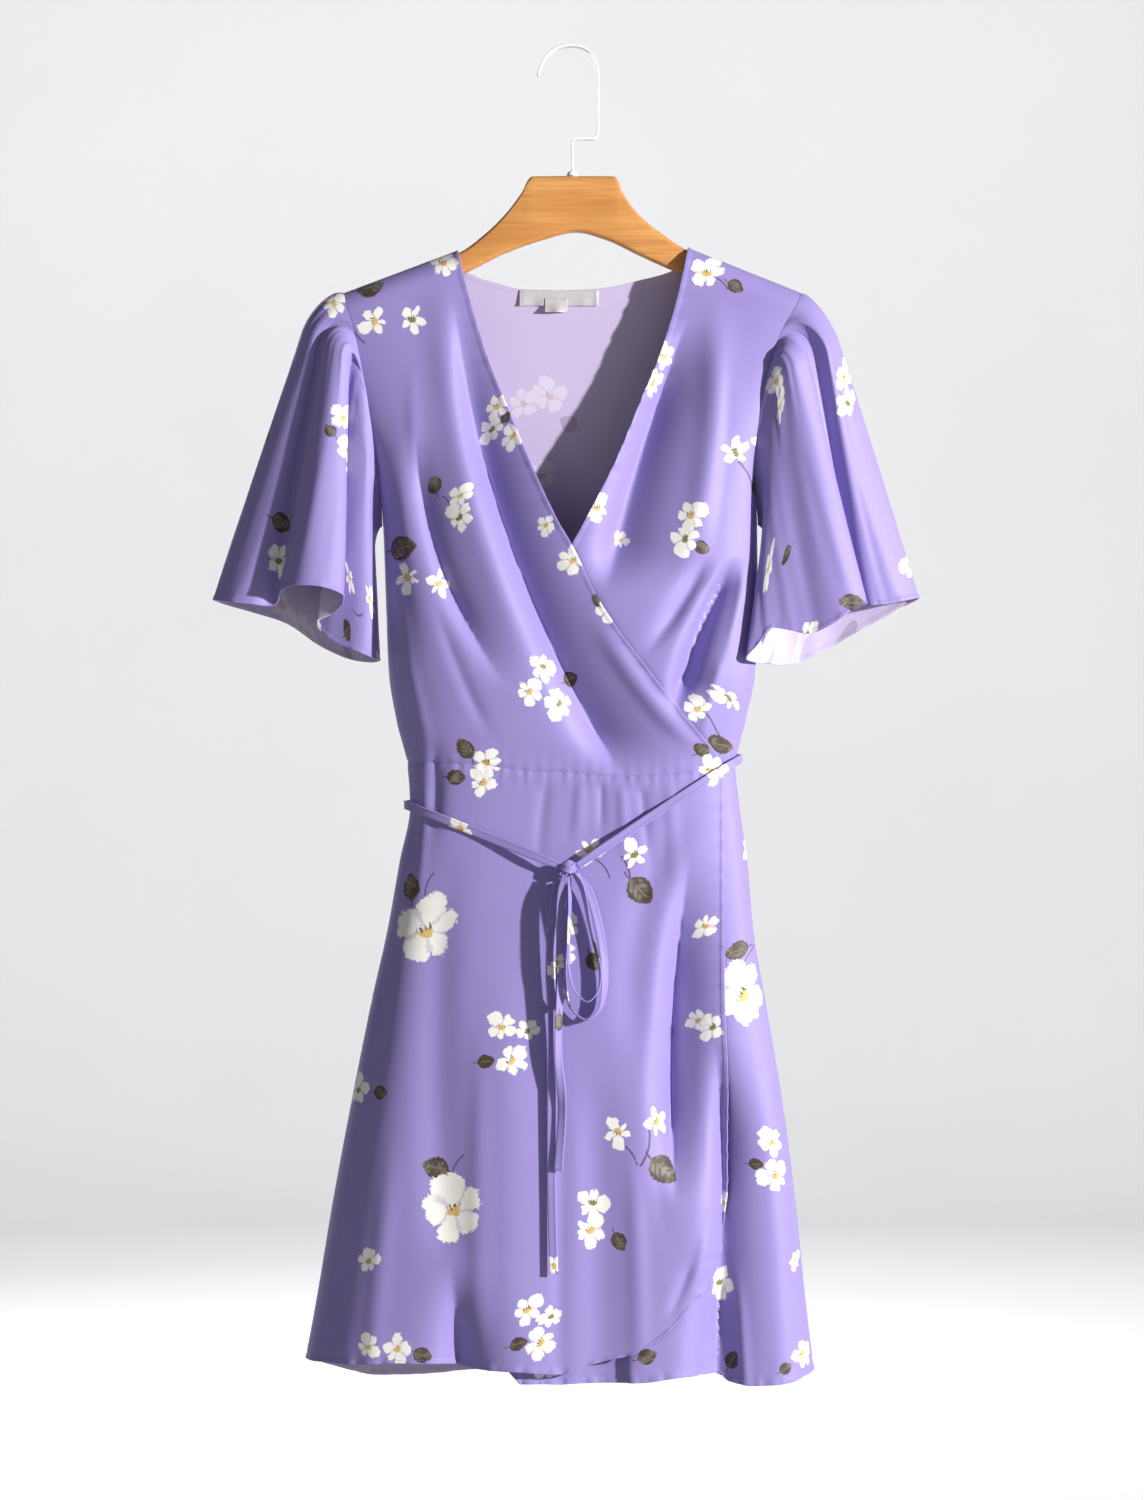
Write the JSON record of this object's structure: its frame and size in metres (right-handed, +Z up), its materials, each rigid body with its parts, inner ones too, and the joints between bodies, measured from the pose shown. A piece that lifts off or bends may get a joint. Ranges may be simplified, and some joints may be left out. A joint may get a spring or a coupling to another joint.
{
  "type": "wrap dress on a clothes hanger",
  "caption": "Short-sleeved wrap dress with a V neck and a narrow waist tie, hanging open at neck, cuffs and hem on a wooden hanger with a flat hook.",
  "frame": {"origin": "underside of the hook's crown, where a rail or peg holds the hanger", "axes": "+Z up, -Y the front of the dress, -X the wearer's right; Z is the longest way and Y the shortest"},
  "size_m": [0.5663, 0.1096, 1.0675],
  "materials": {
    "cloth": "smooth printed crepe, soft lustre",
    "label": "woven satin, bare",
    "wood": "clear lacquer, satin",
    "hook": "white, satin"
  },
  "bodies": {
    "root": {"hanger_body": "wood", "hanger_hook": "hook", "hanger_ferrule": "hook", "bodice_front_right": "cloth", "bodice_front_left": "cloth", "bodice_back": "cloth", "skirt_front_right": "cloth", "skirt_front_left": "cloth", "skirt_back": "cloth", "sleeve_right": "cloth", "sleeve_left": "cloth", "neck_label": "label", "size_tab": "label", "tie_back": "cloth", "tie_right_band": "cloth", "tie_left_band": "cloth", "tie_knot": "cloth", "tie_long_tail": "cloth", "tie_short_tail": "cloth", "tie_small_loop": "cloth", "tie_large_loop": "cloth"}
  },
  "joints": []
}
